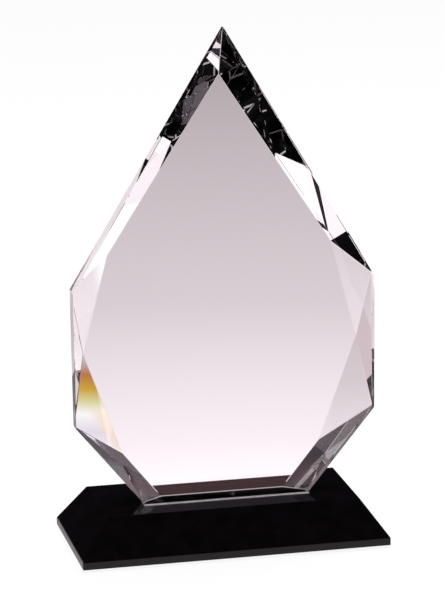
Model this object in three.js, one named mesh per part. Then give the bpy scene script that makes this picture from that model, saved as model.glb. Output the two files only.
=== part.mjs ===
// Crystal award: a faceted clear blade bonded upright on a bevelled black base with four bumper feet.
// Millimetres. +Z is up, the flat polished front of the blade faces -Y, the width runs along X.
import * as THREE from 'three';
import { ConvexGeometry } from 'three/addons/geometries/ConvexGeometry.js';

// Base: a low block of black crystal, upright round the bottom and ground to a slope above.
const BASE_WIDTH = 127;
const BASE_DEPTH = 60;
const BASE_HEIGHT = 18.5;
const BASE_LAND_HEIGHT = 3.1;
const BASE_END_INSET = 11.1;
const BASE_SIDE_INSET = 9.3;

// Bumper feet: self-adhesive domed discs near the corners of the underside.
const FOOT_HEIGHT = 1.2;
const FOOT_RADIUS = 5.5;
const FOOT_TREAD_RADIUS = 4.7;
const FOOT_EDGE_HEIGHT = 0.5;
const FOOT_SEGMENTS = 48;
const FOOT_END_OFFSET = 13;
const FOOT_SIDE_OFFSET = 12;

// Bond: the film of cured adhesive under the blade, a little inside its outline.
const BOND_THICKNESS = 0.25;
const BOND_INSET = 0.6;

// Blade outline, half of it, heights measured from the blade's own bottom edge.
const BLADE_HEIGHT = 193.6;
const BLADE_THICKNESS = 15;
const BLADE_FRONT_Y = -10;
const SHOULDER_HALF_WIDTH = 61.8;
const SHOULDER_HEIGHT = 89.6;
const LOWER_CORNER_HEIGHT = 34.1;
const BOTTOM_HALF_WIDTH = 34;

// Back table: the smaller flat left between the ground facets on the back of the blade.
const TABLE_APEX_HEIGHT = 173.4;
const TABLE_SHOULDER_HALF_WIDTH = 45.9;
const TABLE_SHOULDER_HEIGHT = 102.6;
const TABLE_WAIST_HALF_WIDTH = 56.6;
const TABLE_WAIST_HEIGHT = 62.3;
const TABLE_LOWER_HALF_WIDTH = 40.8;
const TABLE_LOWER_HEIGHT = 19.1;
const TABLE_BOTTOM_HALF_WIDTH = 25.4;

// Girdle: the unground edge left at full outline, deepest behind the shoulders.
const GIRDLE_AT_SHOULDER = 8.3;
const GIRDLE_AT_LOWER_CORNER = 5.1;

const BASE_Z = FOOT_HEIGHT;
const BOND_Z = BASE_Z + BASE_HEIGHT;
const BLADE_Z = BOND_Z + BOND_THICKNESS;
const BLADE_BACK_Y = BLADE_FRONT_Y + BLADE_THICKNESS;

const clearCrystal = new THREE.MeshStandardMaterial({ color: 0xf1eef2, roughness: 0.02, metalness: 0 });
clearCrystal.transparent = true;
clearCrystal.opacity = 0.35;
const blackCrystal = new THREE.MeshStandardMaterial({ color: 0x0c0b0d, roughness: 0.06, metalness: 0 });
const curedAdhesive = new THREE.MeshStandardMaterial({ color: 0xd9d6d2, roughness: 0.25, metalness: 0 });
const bumperRubber = new THREE.MeshStandardMaterial({ color: 0x1b1b1c, roughness: 0.7, metalness: 0 });

const award = new THREE.Group();
award.name = 'crystal_award';

function addPart(name, geometry, material, x, y, z) {
  const mesh = new THREE.Mesh(geometry, material);
  mesh.name = name;
  mesh.position.set(x, y, z);
  award.add(mesh);
}

/** Both sides of a half outline given as [x, z] pairs, all at one depth. */
function mirroredPoints(halfOutline, y) {
  const points = [];
  for (const [x, z] of halfOutline) {
    points.push(new THREE.Vector3(x, y, z));
    if (x > 0) {
      points.push(new THREE.Vector3(-x, y, z));
    }
  }
  return points;
}

/** How far a point of the outline stands outside the table edge that runs from a to b. */
function distanceOutside([ax, az], [bx, bz], [px, pz]) {
  const length = Math.hypot(bx - ax, bz - az);
  return Math.abs((bx - ax) * (pz - az) - (bz - az) * (px - ax)) / length;
}

/** Girdle depth at one outline point, so that it lies on the facet fixed by another point of it. */
function girdleOnSameFacet(tableEdge, fixedPoint, fixedGirdle, point) {
  const slope = (BLADE_THICKNESS - fixedGirdle) / distanceOutside(...tableEdge, fixedPoint);
  return BLADE_THICKNESS - slope * distanceOutside(...tableEdge, point);
}

const apex = [0, BLADE_HEIGHT];
const shoulder = [SHOULDER_HALF_WIDTH, SHOULDER_HEIGHT];
const lowerCorner = [SHOULDER_HALF_WIDTH, LOWER_CORNER_HEIGHT];
const bottomCorner = [BOTTOM_HALF_WIDTH, 0];

const tableApex = [0, TABLE_APEX_HEIGHT];
const tableShoulder = [TABLE_SHOULDER_HALF_WIDTH, TABLE_SHOULDER_HEIGHT];
const tableWaist = [TABLE_WAIST_HALF_WIDTH, TABLE_WAIST_HEIGHT];
const tableLower = [TABLE_LOWER_HALF_WIDTH, TABLE_LOWER_HEIGHT];
const tableBottom = [TABLE_BOTTOM_HALF_WIDTH, 0];

const girdleAtApex = girdleOnSameFacet([tableApex, tableShoulder], shoulder, GIRDLE_AT_SHOULDER, apex);
const girdleAtBottom = girdleOnSameFacet(
  [tableLower, tableBottom], lowerCorner, GIRDLE_AT_LOWER_CORNER, bottomCorner);

function buildBlade() {
  const points = [
    ...mirroredPoints([apex, shoulder, lowerCorner, bottomCorner], BLADE_FRONT_Y),
    ...mirroredPoints([apex], BLADE_FRONT_Y + girdleAtApex),
    ...mirroredPoints([shoulder], BLADE_FRONT_Y + GIRDLE_AT_SHOULDER),
    ...mirroredPoints([lowerCorner], BLADE_FRONT_Y + GIRDLE_AT_LOWER_CORNER),
    ...mirroredPoints([bottomCorner], BLADE_FRONT_Y + girdleAtBottom),
    ...mirroredPoints([tableApex, tableShoulder, tableWaist, tableLower, tableBottom], BLADE_BACK_Y),
  ];
  addPart('crystal_blade', new ConvexGeometry(points), clearCrystal, 0, 0, BLADE_Z);
}

function buildBase() {
  const points = [];
  const addLevel = (halfWidth, halfDepth, z) => {
    for (const [signX, signY] of [[-1, -1], [1, -1], [1, 1], [-1, 1]]) {
      points.push(new THREE.Vector3(signX * halfWidth, signY * halfDepth, z));
    }
  };
  addLevel(BASE_WIDTH / 2, BASE_DEPTH / 2, 0);
  addLevel(BASE_WIDTH / 2, BASE_DEPTH / 2, BASE_LAND_HEIGHT);
  addLevel(BASE_WIDTH / 2 - BASE_END_INSET, BASE_DEPTH / 2 - BASE_SIDE_INSET, BASE_HEIGHT);
  addPart('black_base', new ConvexGeometry(points), blackCrystal, 0, 0, BASE_Z);
}

function buildBond() {
  const frontHalf = BOTTOM_HALF_WIDTH - BOND_INSET;
  const backHalf = TABLE_BOTTOM_HALF_WIDTH - BOND_INSET;
  const outline = new THREE.Shape();
  outline.moveTo(-frontHalf, BLADE_FRONT_Y + BOND_INSET);
  outline.lineTo(frontHalf, BLADE_FRONT_Y + BOND_INSET);
  outline.lineTo(frontHalf, BLADE_FRONT_Y + girdleAtBottom - BOND_INSET);
  outline.lineTo(backHalf, BLADE_BACK_Y - BOND_INSET);
  outline.lineTo(-backHalf, BLADE_BACK_Y - BOND_INSET);
  outline.lineTo(-frontHalf, BLADE_FRONT_Y + girdleAtBottom - BOND_INSET);
  outline.closePath();
  const film = new THREE.ExtrudeGeometry(outline, { depth: BOND_THICKNESS, bevelEnabled: false });
  addPart('bond_film', film, curedAdhesive, 0, 0, BOND_Z);
}

function buildFeet() {
  const profile = [
    new THREE.Vector2(0, 0),
    new THREE.Vector2(FOOT_TREAD_RADIUS, 0),
    new THREE.Vector2(FOOT_RADIUS - 0.2, 0.2),
    new THREE.Vector2(FOOT_RADIUS, FOOT_EDGE_HEIGHT),
    new THREE.Vector2(FOOT_RADIUS, FOOT_HEIGHT),
    new THREE.Vector2(0, FOOT_HEIGHT),
  ];
  const x = BASE_WIDTH / 2 - FOOT_END_OFFSET;
  const y = BASE_DEPTH / 2 - FOOT_SIDE_OFFSET;
  const places = [
    ['bumper_foot_front_left', -x, -y],
    ['bumper_foot_front_right', x, -y],
    ['bumper_foot_rear_left', -x, y],
    ['bumper_foot_rear_right', x, y],
  ];
  for (const [name, footX, footY] of places) {
    const foot = new THREE.LatheGeometry(profile, FOOT_SEGMENTS);
    foot.rotateX(Math.PI / 2);
    addPart(name, foot, bumperRubber, footX, footY, 0);
  }
}

buildFeet();
buildBase();
buildBond();
buildBlade();

export default award;
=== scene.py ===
"""Crystal award: a faceted clear blade bonded upright on a bevelled black crystal base."""

import logging
import math
from dataclasses import dataclass, field
from enum import Enum
from typing import Any

import bmesh
import bpy
from mathutils import Matrix, Vector


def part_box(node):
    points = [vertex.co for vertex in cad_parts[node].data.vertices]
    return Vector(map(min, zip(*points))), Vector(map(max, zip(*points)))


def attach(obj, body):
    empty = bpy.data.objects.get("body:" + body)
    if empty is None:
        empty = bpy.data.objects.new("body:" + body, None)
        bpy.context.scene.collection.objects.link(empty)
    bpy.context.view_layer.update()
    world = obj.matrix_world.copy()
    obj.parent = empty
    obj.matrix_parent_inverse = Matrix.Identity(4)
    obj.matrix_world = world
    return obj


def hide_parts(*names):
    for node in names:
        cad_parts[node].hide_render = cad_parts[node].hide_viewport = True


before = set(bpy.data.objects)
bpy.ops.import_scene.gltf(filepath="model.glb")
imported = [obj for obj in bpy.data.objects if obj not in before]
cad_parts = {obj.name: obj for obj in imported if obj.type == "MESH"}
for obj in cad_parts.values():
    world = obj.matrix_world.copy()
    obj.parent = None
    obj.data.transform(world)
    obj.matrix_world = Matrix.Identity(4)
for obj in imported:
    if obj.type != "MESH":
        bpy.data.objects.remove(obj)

LOG = logging.getLogger("crystal_award")
MM = 0.001
CRYSTAL_BOUNCES = 32  # light runs many times between the faces of a cut crystal before it leaves
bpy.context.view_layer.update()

RGBA = tuple[float, float, float, float]
Links = dict[str | int, bpy.types.NodeSocket]


class Slot(Enum):
    """The material slots that the part's record names."""

    CRYSTAL = "optical_crystal"
    BLACK = "black_crystal"
    ADHESIVE = "uv_adhesive"


def linear(hex_colour: str, alpha: float = 1.0) -> RGBA:
    """Turns an sRGB hex colour into the linear values that a shader takes.

    Args:
        hex_colour: Six hex digits, red first.
        alpha: The fourth value.

    Returns:
        Linear red, green, blue and the alpha.
    """
    channels = [int(hex_colour[i : i + 2], 16) / 255 for i in (0, 2, 4)]
    bent = [c / 12.92 if c <= 0.04045 else ((c + 0.055) / 1.055) ** 2.4 for c in channels]
    return (bent[0], bent[1], bent[2], alpha)


def add_node(
    tree: bpy.types.NodeTree,
    kind: str,
    settings: dict[str | int, Any] | None = None,
    links: Links | None = None,
) -> bpy.types.Node:
    """Adds one node with its settings and its incoming links.

    Args:
        tree: The node tree to add to.
        kind: The node's type name, such as ShaderNodeTexNoise.
        settings: Values by input name or index, or by property name where no input has that name.
        links: Output sockets by the input name or index that they feed.

    Returns:
        The new node.
    """
    node = tree.nodes.new(kind)
    for name, value in (settings or {}).items():
        if isinstance(name, int) or name in node.inputs:
            node.inputs[name].default_value = value
        else:
            setattr(node, name, value)
    for name, socket in (links or {}).items():
        tree.links.new(socket, node.inputs[name])
    return node


def fill_ramp(ramp: bpy.types.Node, stops: list[tuple[float, RGBA]]) -> None:
    """Gives a colour ramp node its stops.

    Args:
        ramp: The colour ramp node.
        stops: Places from 0 to 1 and linear colours, lowest first.
    """
    elements = ramp.color_ramp.elements
    while len(elements) < len(stops):
        elements.new(1.0)
    for element, (place, colour) in zip(elements, stops):
        element.position = place
        element.color = colour


def fresh_material(name: str) -> tuple[bpy.types.Material, bpy.types.NodeTree, bpy.types.Node]:
    """Makes a material with an empty tree and an output.

    Args:
        name: The material's name.

    Returns:
        The material, its node tree and its output node.
    """
    material = bpy.data.materials.new(name)
    material.use_nodes = True
    tree = material.node_tree
    tree.nodes.clear()
    output = add_node(tree, "ShaderNodeOutputMaterial")
    return material, tree, output


@dataclass(frozen=True)
class OpticalCrystal:
    """K9 optical crystal, cut with a flat wheel and polished with cerium oxide.

    The polish leaves faces that are flat to the eye, so the facets show sharp images, and only the
    faintest roll of the lap breaks up the brightest reflections.
    """

    tint: str = "FDFCFD"
    ior: float = 1.517
    roughness: float = 0.0
    lap_roll_mm: float = 46.0
    lap_roll_depth: float = 0.012

    def material(self) -> bpy.types.Material:
        """Builds the clear crystal material.

        Returns:
            The material, smooth and fully transmitting.
        """
        material, tree, output = fresh_material("optical_crystal_polished")
        place = add_node(tree, "ShaderNodeTexCoord")
        roll = add_node(
            tree,
            "ShaderNodeTexNoise",
            {"Scale": 1 / (self.lap_roll_mm * MM), "Detail": 1.0},
            {"Vector": place.outputs["Object"]},
        )
        bump = add_node(
            tree,
            "ShaderNodeBump",
            {"Strength": self.lap_roll_depth, "Distance": 1 * MM},
            {"Height": roll.outputs["Fac"]},
        )
        glass = add_node(
            tree,
            "ShaderNodeBsdfPrincipled",
            {
                "Base Color": linear(self.tint),
                "Roughness": self.roughness,
                "IOR": self.ior,
                "Transmission Weight": 1.0,
            },
            {"Normal": bump.outputs["Normal"]},
        )
        tree.links.new(glass.outputs["BSDF"], output.inputs["Surface"])
        return material


@dataclass(frozen=True)
class BlackCrystal:
    """Black soda-lime crystal, opaque all through, ground to shape and polished.

    It gives deep black faces that mirror their surroundings faintly head on and strongly at a
    glance, with light catching the polished arrises.
    """

    colour: str = "060506"
    haze: str = "0D0B0D"
    ior: float = 1.52
    polish_grain_mm: float = 6.0

    def material(self) -> bpy.types.Material:
        """Builds the black crystal material.

        Returns:
            The material, opaque and polished.
        """
        material, tree, output = fresh_material("black_crystal_polished")
        place = add_node(tree, "ShaderNodeTexCoord")
        cloud = add_node(
            tree,
            "ShaderNodeTexNoise",
            {"Scale": 1 / (self.polish_grain_mm * MM), "Detail": 4.0},
            {"Vector": place.outputs["Object"]},
        )
        colour = add_node(tree, "ShaderNodeValToRGB", None, {"Fac": cloud.outputs["Fac"]})
        fill_ramp(colour, [(0.35, linear(self.colour)), (0.75, linear(self.haze))])
        polish = add_node(
            tree,
            "ShaderNodeMapRange",
            {"From Min": 0.3, "From Max": 0.8, "To Min": 0.02, "To Max": 0.06},
            {"Value": cloud.outputs["Fac"]},
        )
        crystal = add_node(
            tree,
            "ShaderNodeBsdfPrincipled",
            {"IOR": self.ior},
            {"Base Color": colour.outputs["Color"], "Roughness": polish.outputs["Result"]},
        )
        tree.links.new(crystal.outputs["BSDF"], output.inputs["Surface"])
        return material


@dataclass(frozen=True)
class BondedFace:
    """The underside of the blade, ground flat and wetted by adhesive onto black crystal.

    Light passes on into the black, so from inside the blade the face is dark. The face is an
    emission shader: its streaks and fine lines give out a painted glow of grey in place of what
    wiped adhesive and grinding lines would send back, and the facets repeat it.
    """

    streak_mm: float = 18.0
    line_mm: float = 60.0
    streak: str = "2A2426"
    line: str = "5C5657"

    def material(self) -> bpy.types.Material:
        """Builds the dark bonded face material, with a painted glow in streaks and hairlines.

        Returns:
            The material, an emission shader whose painted glow stands in for what little the face
            sends back.
        """
        material, tree, output = fresh_material("bonded_face_painted_glow")
        place = add_node(tree, "ShaderNodeTexCoord")
        smear = add_node(
            tree,
            "ShaderNodeTexNoise",
            {"Scale": 1 / (self.streak_mm * MM), "Detail": 1.5, "Distortion": 0.7},
            {"Vector": place.outputs["Object"]},
        )
        grey = add_node(tree, "ShaderNodeValToRGB", None, {"Fac": smear.outputs["Fac"]})
        fill_ramp(
            grey,
            [
                (0.55, (0.0, 0.0, 0.0, 1.0)),
                (0.60, linear("141113")),
                (0.64, linear(self.streak)),
                (0.70, linear("1C1819")),
            ],
        )
        drawn = add_node(
            tree,
            "ShaderNodeMapping",
            {"Scale": (1.0, 0.5, 1.0), "Rotation": (0.0, 0.0, math.radians(24.0))},
            {"Vector": place.outputs["Object"]},
        )
        cells = add_node(
            tree,
            "ShaderNodeTexVoronoi",
            {"feature": "DISTANCE_TO_EDGE", "Scale": 1 / (self.line_mm * MM)},
            {"Vector": drawn.outputs["Vector"]},
        )
        hairline = add_node(
            tree,
            "ShaderNodeMapRange",
            {"From Min": 0.0, "From Max": 0.008, "To Min": 0.8, "To Max": 0.0},
            {"Value": cells.outputs["Distance"]},
        )
        broken = add_node(
            tree,
            "ShaderNodeMapRange",
            {"From Min": 0.5, "From Max": 0.56, "To Min": 0.0, "To Max": 1.0},
            {"Value": smear.outputs["Fac"]},
        )
        glowing_line_mask = add_node(
            tree,
            "ShaderNodeMath",
            {"operation": "MULTIPLY"},
            {0: hairline.outputs["Result"], 1: broken.outputs["Result"]},
        )
        both = add_node(
            tree,
            "ShaderNodeMix",
            {"data_type": "RGBA", 7: linear(self.line)},
            {0: glowing_line_mask.outputs["Value"], 6: grey.outputs["Color"]},
        )
        # Painted glow: the emission gives out the grey of the streaks and lines, lit by no lamp.
        face = add_node(
            tree,
            "ShaderNodeEmission",
            {"Strength": 1.0},
            {"Color": both.outputs[2]},
        )
        tree.links.new(face.outputs["Emission"], output.inputs["Surface"])
        return material


@dataclass(frozen=True)
class CuredAdhesive:
    """Ultraviolet-cured acrylic adhesive, squeezed out and wiped to a thin bead, bright with a
    painted glow.

    An emission paints a glow on it, dim at the front and bright at the back, in place of light
    carried sideways out of the crystal, so its rim shows as a pale line.
    """

    colour: str = "D8D4D6"
    grain_mm: float = 1.5
    painted_glow: float = 0.5
    painted_glow_front: str = "443F42"
    painted_glow_back: str = "E0DADC"

    def material(self) -> bpy.types.Material:
        """Builds the cured adhesive material.

        Returns:
            The material, with a painted glow that is brighter towards the back.
        """
        material, tree, output = fresh_material("uv_adhesive_cured_painted_glow")
        place = add_node(tree, "ShaderNodeTexCoord")
        lumps = add_node(
            tree,
            "ShaderNodeTexNoise",
            {"Scale": 1 / (self.grain_mm * MM), "Detail": 2.0},
            {"Vector": place.outputs["Object"]},
        )
        colour = add_node(tree, "ShaderNodeValToRGB", None, {"Fac": lumps.outputs["Fac"]})
        fill_ramp(colour, [(0.3, linear("B9B4B7")), (0.7, linear(self.colour))])
        # Painted glow: emission graded from dim at the front to bright at the back, lit by no
        # lamp.
        depth = add_node(
            tree, "ShaderNodeSeparateXYZ", None, {"Vector": place.outputs["Object"]}
        )
        behind = add_node(
            tree,
            "ShaderNodeMapRange",
            {"From Min": -9 * MM, "From Max": 4 * MM},
            {"Value": depth.outputs["Y"]},
        )
        painted_glow_colour = add_node(tree, "ShaderNodeValToRGB", None, {"Fac": behind.outputs["Result"]})
        fill_ramp(painted_glow_colour, [(0.0, linear(self.painted_glow_front)), (1.0, linear(self.painted_glow_back))])
        bead = add_node(
            tree,
            "ShaderNodeBsdfPrincipled",
            {"Roughness": 0.2, "IOR": 1.5, "Emission Strength": self.painted_glow},
            {"Base Color": colour.outputs["Color"], "Emission Color": painted_glow_colour.outputs["Color"]},
        )
        tree.links.new(bead.outputs["BSDF"], output.inputs["Surface"])
        return material


@dataclass(frozen=True)
class BumperRubber:
    """Moulded polyurethane bumper, black and matt, with a fine pebbled skin."""

    colour: str = "1A1A1B"
    pebble_mm: float = 0.5

    def material(self) -> bpy.types.Material:
        """Builds the bumper material.

        Returns:
            The material, matt and pebbled.
        """
        material, tree, output = fresh_material("bumper_polyurethane_moulded")
        place = add_node(tree, "ShaderNodeTexCoord")
        pebble = add_node(
            tree,
            "ShaderNodeTexVoronoi",
            {"Scale": 1 / (self.pebble_mm * MM)},
            {"Vector": place.outputs["Object"]},
        )
        colour = add_node(tree, "ShaderNodeValToRGB", None, {"Fac": pebble.outputs["Distance"]})
        fill_ramp(colour, [(0.0, linear(self.colour)), (1.0, linear("2A292B"))])
        bump = add_node(
            tree,
            "ShaderNodeBump",
            {"Strength": 0.3, "Distance": 0.1 * MM},
            {"Height": pebble.outputs["Distance"]},
        )
        rubber = add_node(
            tree,
            "ShaderNodeBsdfPrincipled",
            {"Roughness": 0.62, "IOR": 1.5},
            {"Base Color": colour.outputs["Color"], "Normal": bump.outputs["Normal"]},
        )
        tree.links.new(rubber.outputs["BSDF"], output.inputs["Surface"])
        return material


def placed(mesh: bmesh.types.BMesh, name: str) -> bpy.types.Object:
    """Turns a finished mesh into an object in the scene.

    Args:
        mesh: The mesh, which is freed.
        name: The object's name.

    Returns:
        The new object.
    """
    data = bpy.data.meshes.new(name)
    mesh.to_mesh(data)
    mesh.free()
    piece = bpy.data.objects.new(name, data)
    bpy.context.scene.collection.objects.link(piece)
    return piece


def chamfered_copy(node: str, name: str, width_mm: float, segments: int = 1) -> bpy.types.Object:
    """Copies a CAD node's faceted solid and grinds a fine chamfer along its arrises.

    Args:
        node: The CAD node to copy.
        name: The new piece's name.
        width_mm: The chamfer's leg on each face.
        segments: How many flats the chamfer has.

    Returns:
        The new piece, which isn't yet riding on anything.
    """
    mesh = bmesh.new()
    mesh.from_mesh(bpy.data.objects[node].data)
    bmesh.ops.remove_doubles(mesh, verts=mesh.verts, dist=0.001 * MM)
    bmesh.ops.dissolve_limit(
        mesh, angle_limit=math.radians(0.3), verts=mesh.verts, edges=mesh.edges
    )
    bmesh.ops.bevel(
        mesh,
        geom=list(mesh.edges),
        offset=width_mm * MM,
        offset_type="OFFSET",
        segments=segments,
        profile=0.5,
        affect="EDGES",
        clamp_overlap=True,
    )
    return placed(mesh, name)


@dataclass
class Blade:
    """The clear faceted blade."""

    chamfer_mm: float = 0.14
    finish: OpticalCrystal = field(default_factory=OpticalCrystal)
    underside: BondedFace = field(default_factory=BondedFace)

    def build(self) -> bpy.types.Object:
        """Cuts the blade with its fine chamfers and dresses it.

        Returns:
            The blade, its underside in a finish of its own.
        """
        piece = chamfered_copy("crystal_blade", "crystal_blade_cut", self.chamfer_mm)
        piece.data.materials.append(self.finish.material())
        piece.data.materials.append(self.underside.material())
        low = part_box("crystal_blade")[0][2]
        for face in piece.data.polygons:
            faces_down = face.normal.z < -0.99
            if faces_down and abs(face.center.z - low) < 0.05 * MM:
                face.material_index = 1
        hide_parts("crystal_blade")
        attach(piece, "root")
        return piece


@dataclass
class Base:
    """The black crystal base."""

    chamfer_mm: float = 0.3
    finish: BlackCrystal = field(default_factory=BlackCrystal)

    def build(self) -> bpy.types.Object:
        """Cuts the base with polished arrises and dresses it.

        Returns:
            The base.
        """
        piece = chamfered_copy("black_base", "black_base_cut", self.chamfer_mm, 2)
        piece.data.materials.append(self.finish.material())
        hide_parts("black_base")
        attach(piece, "root")
        return piece


@dataclass
class Bead:
    """The thin bead of adhesive squeezed out all round the foot of the blade."""

    height_mm: float = 0.55
    spread_mm: float = 0.45
    tuck_mm: float = 0.5
    finish: CuredAdhesive = field(default_factory=CuredAdhesive)

    def build(self) -> bpy.types.Object:
        """Runs the bead round the blade's bottom outline and dresses it.

        Returns:
            The bead.
        """
        piece = self.run(self.outline(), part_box("black_base")[1][2])
        piece.data.materials.append(self.finish.material())
        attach(piece, "root")
        return piece

    def profile(self) -> list[tuple[float, float]]:
        """Draws the bead's hollow section, tucked a little way under the blade.

        Returns:
            Its corners, as millimetres out from the blade's outline and up from the base.
        """
        return [
            (-self.tuck_mm, 0.0),
            (self.spread_mm, 0.0),
            (self.spread_mm * 0.45, self.height_mm * 0.3),
            (self.spread_mm * 0.12, self.height_mm * 0.65),
            (0.0, self.height_mm),
            (-self.tuck_mm, self.height_mm * 0.4),
        ]

    def run(self, outline: list[tuple[float, float]], floor: float) -> bpy.types.Object:
        """Sweeps the section round an outline.

        Args:
            outline: The corners to run round, in metres.
            floor: The height of the surface that the bead lies on, in metres.

        Returns:
            The bead as a closed ring, which isn't yet riding on anything.
        """
        mesh = bmesh.new()
        rings = []
        for out_mm, up_mm in self.profile():
            ring = self.offset(outline, out_mm * MM)
            rings.append([mesh.verts.new((x, y, floor + up_mm * MM)) for x, y in ring])
        count = len(outline)
        for lower, upper in zip(rings, rings[1:] + rings[:1]):
            for i in range(count):
                j = (i + 1) % count
                mesh.faces.new((lower[i], lower[j], upper[j], upper[i]))
        bmesh.ops.recalc_face_normals(mesh, faces=mesh.faces)
        return placed(mesh, "bond_bead")

    def outline(self) -> list[tuple[float, float]]:
        """Reads the blade's bottom outline from its CAD solid.

        Returns:
            Its corners in metres, anticlockwise from above.
        """
        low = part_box("crystal_blade")[0][2]
        corners = {
            (round(v.co.x, 6), round(v.co.y, 6))
            for v in bpy.data.objects["crystal_blade"].data.vertices
            if abs(v.co.z - low) < 0.01 * MM
        }
        middle_x = sum(x for x, _ in corners) / len(corners)
        middle_y = sum(y for _, y in corners) / len(corners)
        return sorted(corners, key=lambda c: math.atan2(c[1] - middle_y, c[0] - middle_x))

    def offset(
        self, outline: list[tuple[float, float]], distance: float
    ) -> list[tuple[float, float]]:
        """Moves a convex anticlockwise outline outwards.

        Args:
            outline: Its corners, in metres.
            distance: How far each side moves, in metres.

        Returns:
            The moved corners, in the same order.
        """
        moved = []
        for i, (x, y) in enumerate(outline):
            here = Vector((x, y))
            before = (here - Vector(outline[i - 1])).normalized()
            after = (Vector(outline[(i + 1) % len(outline)]) - here).normalized()
            out_before = Vector((before.y, -before.x))
            out_after = Vector((after.y, -after.x))
            mitre = (out_before + out_after).normalized()
            corner = here + mitre * (distance / max(0.3, mitre.dot(out_before)))
            moved.append((corner.x, corner.y))
        return moved


@dataclass
class Fittings:
    """The adhesive film and the bumper feet, which keep their CAD shapes.

    The film lies dark between the crystals with only a faint painted glow, and the bead round it
    carries the bright painted glow.
    """

    adhesive: CuredAdhesive = field(default_factory=lambda: CuredAdhesive(painted_glow=0.012))
    rubber: BumperRubber = field(default_factory=BumperRubber)

    def dress(self) -> None:
        """Gives the film and each foot its finish."""
        film = self.adhesive.material()
        rubber = self.rubber.material()
        self.assign("bond_film", film)
        for end in ("front", "rear"):
            for side in ("left", "right"):
                self.assign(f"bumper_foot_{end}_{side}", rubber)

    def assign(self, node: str, material: bpy.types.Material) -> None:
        """Puts one material in every slot of a CAD node.

        Args:
            node: The CAD node's name.
            material: Its finish.
        """
        slots = bpy.data.objects[node].material_slots
        for slot in slots:
            slot.material = material
        LOG.info("dressed %s with %s", node, material.name)


@dataclass(frozen=True)
class FloorPool:
    """A painted pool of light on the pale floor, which every ray but the camera's sees.

    Each stop is a distance in metres from the pool's middle and the colour there. The apron is
    how much of it a mirror sees, by the distance in front of the award: a painted warm band near
    the award, then painted shade going to black.
    """

    middle: tuple[float, float] = (0.0, -0.12)
    stops: tuple[tuple[float, str], ...] = (
        (0.20, "FFF6FA"),
        (0.50, "D8CED2"),
        (1.50, "988E92"),
    )
    reach: float = 2.0
    heart: float = 1.22
    outer: float = 1.06
    fade: tuple[float, float] = (0.1, 0.26)
    apron: tuple[tuple[float, str], ...] = (
        (0.06, "B0B0B0"),
        (0.08, "FFD0D0"),
        (0.10, "FFD0D0"),
        (0.12, "B0B0B0"),
        (0.40, "000000"),
    )
    apron_reach: float = 0.5


@dataclass(frozen=True)
class SplitLight:
    """A narrow fan of split colour painted on the floor, standing in for the fire that a steep
    facet bends towards the eye.

    It lies along one bearing from the award, warm at its far end and pale at its near end. The
    stops and the pairs of places are in metres, along the fan or across it.
    """

    bearing: float = 35.0
    side: float = -0.008
    half_width: float = 0.018
    gain: float = 1.12
    near: tuple[float, float] = (0.24, 0.27)
    far: tuple[float, float] = (0.72, 0.8)
    warm_side: tuple[float, float] = (-0.013, -0.007)
    warm_end: tuple[float, float] = (0.44, 0.48)
    inner: str = "FFE8D0"
    stops: tuple[tuple[float, str], ...] = (
        (0.28, "FFFFFF"),
        (0.36, "E8E0F0"),
        (0.44, "FFFFFF"),
        (0.50, "E0D8A0"),
        (0.56, "D0A830"),
        (0.64, "C07840"),
        (0.72, "C8BCC0"),
    )


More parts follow.
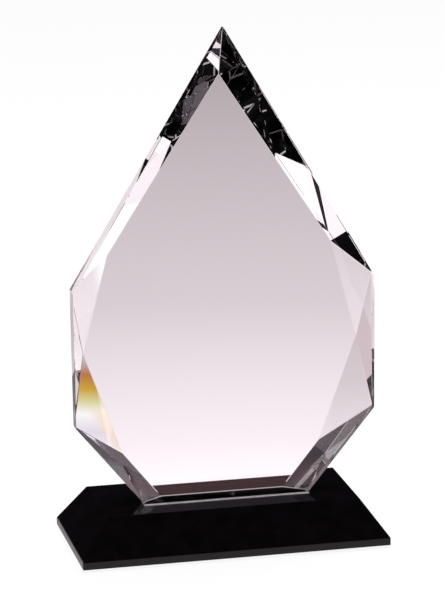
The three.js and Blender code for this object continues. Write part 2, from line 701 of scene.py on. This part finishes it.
@dataclass
class Studio:
    """Pale floor with a painted pool and fan of light for every ray but the camera's, pale
    surround with dark flags, soft lights and the camera.

    The sky's stops are how high a direction points, from 0 level to 1 straight up, and its tone.
    """

    floor_radius: float = 6.0
    sky: tuple[tuple[float, str], ...] = (
        (0.0, "2A272A"),
        (0.22, "2E2B2E"),
        (0.34, "585157"),
        (0.62, "6C626A"),
        (0.92, "1C191C"),
    )
    flag: str = "151315"
    key: str = "D8C6CB"
    pool: FloorPool = field(default_factory=FloorPool)
    split: SplitLight = field(default_factory=SplitLight)
    camera_from: tuple[float, float, float] = (-0.2804, -1.2351, 0.4325)
    camera_to: tuple[float, float, float] = (0.0010, 0.0, 0.1007)
    camera_roll: float = -0.45
    focal_over_height: float = 5.4166
    key_direction: tuple[float, float, float] = (-0.25, -0.94, 0.24)

    def build(self) -> None:
        """Sets the whole studio."""
        self.floor()
        self.surround()
        self.softbox("softbox_top", (0.0, 0.1, 1.8), (1.8, 1.2), 5.0)
        self.softbox("softbox_left", (-0.7, -0.6, 1.6), (0.5, 0.9), 5.0)
        self.softbox("softbox_right", (0.7, 0.6, 1.6), (0.5, 0.9), 5.0)
        self.camera()

    def floor(self) -> None:
        """Lays the pale floor, with a painted pool of light bright near the award and falling off
        away from it.
        """
        mesh = bmesh.new()
        bmesh.ops.create_circle(mesh, cap_ends=True, segments=96, radius=self.floor_radius)
        floor = placed(mesh, "studio_floor")
        floor.data.materials.append(self.paper())

    def paper(self) -> bpy.types.Material:
        """Builds the pale paper: even to look at, with a painted pool of light that every other
        ray sees.

        Returns:
            The floor's material.
        """
        material, tree, output = fresh_material("studio_floor_paper_painted_pool")
        place = add_node(tree, "ShaderNodeNewGeometry").outputs["Position"]
        offset = add_node(
            tree,
            "ShaderNodeVectorMath",
            {"operation": "DISTANCE", 1: (*self.pool.middle, 0.0)},
            {0: place},
        )
        share = add_node(
            tree,
            "ShaderNodeMath",
            {"operation": "DIVIDE", 1: self.pool.reach},
            {0: offset.outputs["Value"]},
        )
        ramp = add_node(tree, "ShaderNodeValToRGB", None, {"Fac": share.outputs["Value"]})
        fill_ramp(ramp, [(at / self.pool.reach, linear(tone)) for at, tone in self.pool.stops])
        strengths = (self.pool.heart, self.pool.outer)
        heart = self.stretch(tree, offset.outputs["Value"], self.pool.fade, strengths)
        fan_share, fan_colour = self.fan(tree, place)
        gain = self.stretch(tree, fan_share, (0.0, 1.0), (1.0, self.split.gain))
        colours = add_node(
            tree,
            "ShaderNodeMix",
            {"data_type": "RGBA"},
            {0: fan_share, 6: ramp.outputs["Color"], 7: fan_colour},
        )
        path = add_node(tree, "ShaderNodeLightPath")
        axes = add_node(tree, "ShaderNodeSeparateXYZ", None, {"Vector": place})
        ahead = self.stretch(
            tree, axes.outputs["Y"], (0.0, -self.pool.apron_reach), (0.0, 1.0)
        )
        apron = add_node(tree, "ShaderNodeValToRGB", None, {"Fac": ahead})
        reach = self.pool.apron_reach
        fill_ramp(apron, [(at / reach, linear(tone)) for at, tone in self.pool.apron])
        # Painted shade and a painted warm band, by the distance in front of the award, on what
        # mirrored rays see.
        dimmed = add_node(
            tree,
            "ShaderNodeMix",
            {"data_type": "RGBA", "blend_type": "MULTIPLY"},
            {0: self.mirrored(tree, path), 6: colours.outputs[2], 7: apron.outputs["Color"]},
        )
        # The painted pool of light: an emission, lit by no lamp.
        pool = add_node(
            tree,
            "ShaderNodeEmission",
            None,
            {"Color": dimmed.outputs[2], "Strength": self.product(tree, heart, gain)},
        )
        even = add_node(tree, "ShaderNodeEmission", {"Color": (1, 1, 1, 1), "Strength": 0.9})
        shade = add_node(tree, "ShaderNodeBsdfDiffuse", {"Color": (0.1, 0.1, 0.1, 1)})
        sheet = add_node(
            tree, "ShaderNodeAddShader", None, {0: even.outputs[0], 1: shade.outputs[0]}
        )
        seen = add_node(
            tree,
            "ShaderNodeMixShader",
            None,
            {0: path.outputs["Is Camera Ray"], 1: pool.outputs[0], 2: sheet.outputs[0]},
        )
        tree.links.new(seen.outputs[0], output.inputs["Surface"])
        return material

    def fan(
        self, tree: bpy.types.NodeTree, place: bpy.types.NodeSocket
    ) -> tuple[bpy.types.NodeSocket, bpy.types.NodeSocket]:
        """Lays the fan of split colour along its bearing.

        Args:
            tree: The floor's node tree.
            place: The position on the floor.

        Returns:
            How much of the fan there is at each place, and its colour there.
        """
        # Painted split colour: a fan of colour painted along one bearing, seen only by rays other
        # than the camera's.
        turned = add_node(
            tree,
            "ShaderNodeVectorRotate",
            {"rotation_type": "Z_AXIS", "Angle": math.radians(self.split.bearing)},
            {"Vector": place},
        )
        axes = add_node(
            tree, "ShaderNodeSeparateXYZ", None, {"Vector": turned.outputs["Vector"]}
        )
        along = axes.outputs["Y"]
        colour = add_node(tree, "ShaderNodeValToRGB", None, {"Fac": along})
        fill_ramp(colour, [(at, linear(tone)) for at, tone in self.split.stops])
        across = add_node(
            tree,
            "ShaderNodeMath",
            {"operation": "SUBTRACT", 1: self.split.side},
            {0: axes.outputs["X"]},
        )
        aside = add_node(
            tree, "ShaderNodeMath", {"operation": "ABSOLUTE"}, {0: across.outputs["Value"]}
        )
        width = self.split.half_width
        inside = self.stretch(tree, aside.outputs["Value"], (width * 0.7, width), (1.0, 0.0))
        near = self.stretch(tree, along, self.split.near, (0.0, 1.0))
        far = self.stretch(tree, along, self.split.far, (1.0, 0.0))
        share = self.product(tree, self.product(tree, near, far), inside)
        warm_side = self.stretch(tree, axes.outputs["X"], self.split.warm_side, (0.0, 0.9))
        warm_end = self.stretch(tree, along, self.split.warm_end, (1.0, 0.0))
        both = add_node(
            tree,
            "ShaderNodeMix",
            {"data_type": "RGBA", 7: linear(self.split.inner)},
            {0: self.product(tree, warm_side, warm_end), 6: colour.outputs["Color"]},
        )
        return share, both.outputs[2]

    def stretch(
        self,
        tree: bpy.types.NodeTree,
        value: bpy.types.NodeSocket,
        source: tuple[float, float],
        target: tuple[float, float],
    ) -> bpy.types.NodeSocket:
        """Maps a value from one range to another, held at both ends.

        Args:
            tree: The node tree to add to.
            value: The value to map.
            source: The range it comes in.
            target: The range it leaves in.

        Returns:
            The mapped value.
        """
        node = add_node(
            tree,
            "ShaderNodeMapRange",
            {
                "From Min": source[0],
                "From Max": source[1],
                "To Min": target[0],
                "To Max": target[1],
            },
            {"Value": value},
        )
        return node.outputs["Result"]

    def mirrored(self, tree: bpy.types.NodeTree, path: bpy.types.Node) -> bpy.types.NodeSocket:
        """Tells a ray that a face has just mirrored from one that has come through crystal.

        Args:
            tree: The node tree to add to.
            path: Its light path node.

        Returns:
            One for a mirrored ray, and otherwise nought.
        """
        node = add_node(
            tree,
            "ShaderNodeMath",
            {"operation": "SUBTRACT", "use_clamp": True},
            {0: path.outputs["Is Glossy Ray"], 1: path.outputs["Is Transmission Ray"]},
        )
        return node.outputs["Value"]

    def product(
        self, tree: bpy.types.NodeTree, one: bpy.types.NodeSocket, other: bpy.types.NodeSocket
    ) -> bpy.types.NodeSocket:
        """Multiplies two values.

        Args:
            tree: The node tree to add to.
            one: A value.
            other: The value that multiplies it.

        Returns:
            Their product.
        """
        node = add_node(tree, "ShaderNodeMath", {"operation": "MULTIPLY"}, {0: one, 1: other})
        return node.outputs["Value"]

    def surround(self) -> None:
        """Makes the sky pale to look at, graded through crystal and dark to polished faces."""
        world = bpy.data.worlds.new("studio_surround")
        bpy.context.scene.world = world
        world.use_nodes = True
        tree = world.node_tree
        tree.nodes.clear()
        output = add_node(tree, "ShaderNodeOutputWorld")
        path = add_node(tree, "ShaderNodeLightPath")
        pale = add_node(tree, "ShaderNodeBackground", {"Color": (1, 1, 1, 1), "Strength": 1.0})
        way = add_node(tree, "ShaderNodeTexCoord")
        split = add_node(
            tree, "ShaderNodeSeparateXYZ", None, {"Vector": way.outputs["Generated"]}
        )
        rise = add_node(tree, "ShaderNodeValToRGB", None, {"Fac": split.outputs["Z"]})
        fill_ramp(rise, [(at, linear(tone)) for at, tone in self.sky])
        flags = add_node(
            tree, "ShaderNodeBackground", {"Color": linear(self.flag), "Strength": 1.0}
        )
        facing = add_node(
            tree,
            "ShaderNodeVectorMath",
            {"operation": "DOT_PRODUCT", 1: self.key_direction},
            {0: way.outputs["Generated"]},
        )
        lobe = self.stretch(tree, facing.outputs["Value"], (0.93, 0.985), (0.0, 1.0))
        lit = add_node(
            tree,
            "ShaderNodeMix",
            {"data_type": "RGBA", 7: linear(self.key)},
            {0: lobe, 6: rise.outputs["Color"]},
        )
        graded = add_node(
            tree, "ShaderNodeBackground", {"Strength": 1.0}, {"Color": lit.outputs[2]}
        )
        unseen = add_node(
            tree,
            "ShaderNodeMixShader",
            None,
            {0: self.mirrored(tree, path), 1: graded.outputs[0], 2: flags.outputs[0]},
        )
        mix = add_node(
            tree,
            "ShaderNodeMixShader",
            None,
            {0: path.outputs["Is Camera Ray"], 1: unseen.outputs[0], 2: pale.outputs[0]},
        )
        tree.links.new(mix.outputs[0], output.inputs["Surface"])

    def softbox(
        self,
        name: str,
        place: tuple[float, float, float],
        size: tuple[float, float],
        radiance: float,
    ) -> None:
        """Hangs one rectangular softbox that faces the award.

        Args:
            name: The light's name.
            place: Its centre, in metres.
            size: Its width and height, in metres.
            radiance: How bright its face is, beside a white of 1.
        """
        light = bpy.data.lights.new(name, "AREA")
        light.shape = "RECTANGLE"
        light.size, light.size_y = size
        light.energy = radiance * size[0] * size[1] * math.pi
        lamp = bpy.data.objects.new(name, light)
        bpy.context.scene.collection.objects.link(lamp)
        lamp.location = place
        lamp.visible_glossy = False
        lamp.visible_transmission = False
        away = Vector((0.0, 0.0, 0.1)) - Vector(place)
        lamp.rotation_euler = away.to_track_quat("-Z", "Y").to_euler()

    def camera(self) -> None:
        """Places the camera and sets its lens."""
        data = bpy.data.cameras.new("studio_camera")
        data.sensor_fit = "VERTICAL"
        data.sensor_height = 24.0
        data.lens = self.focal_over_height * data.sensor_height
        data.clip_start = 0.01
        data.clip_end = 50.0
        camera = bpy.data.objects.new("studio_camera", data)
        bpy.context.scene.collection.objects.link(camera)
        away = Vector(self.camera_to) - Vector(self.camera_from)
        aim = away.to_track_quat("-Z", "Y").to_matrix().to_4x4()
        roll = Matrix.Rotation(math.radians(self.camera_roll), 4, "Z")
        camera.matrix_world = Matrix.Translation(self.camera_from) @ aim @ roll
        bpy.context.scene.camera = camera


def main() -> None:
    """Builds the award piece by piece, then the studio."""
    logging.basicConfig(level=logging.INFO, format="%(message)s")
    scene = bpy.context.scene
    scene.view_settings.view_transform = "Standard"
    for kind in ("max_bounces", "glossy_bounces", "transmission_bounces"):
        setattr(scene.cycles, kind, CRYSTAL_BOUNCES)
    for part in (Base(), Blade(), Bead()):
        piece = part.build()
        LOG.info("built %s with %d faces", piece.name, len(piece.data.polygons))
    Fittings().dress()
    Studio().build()


if __name__ == "__main__":
    main()
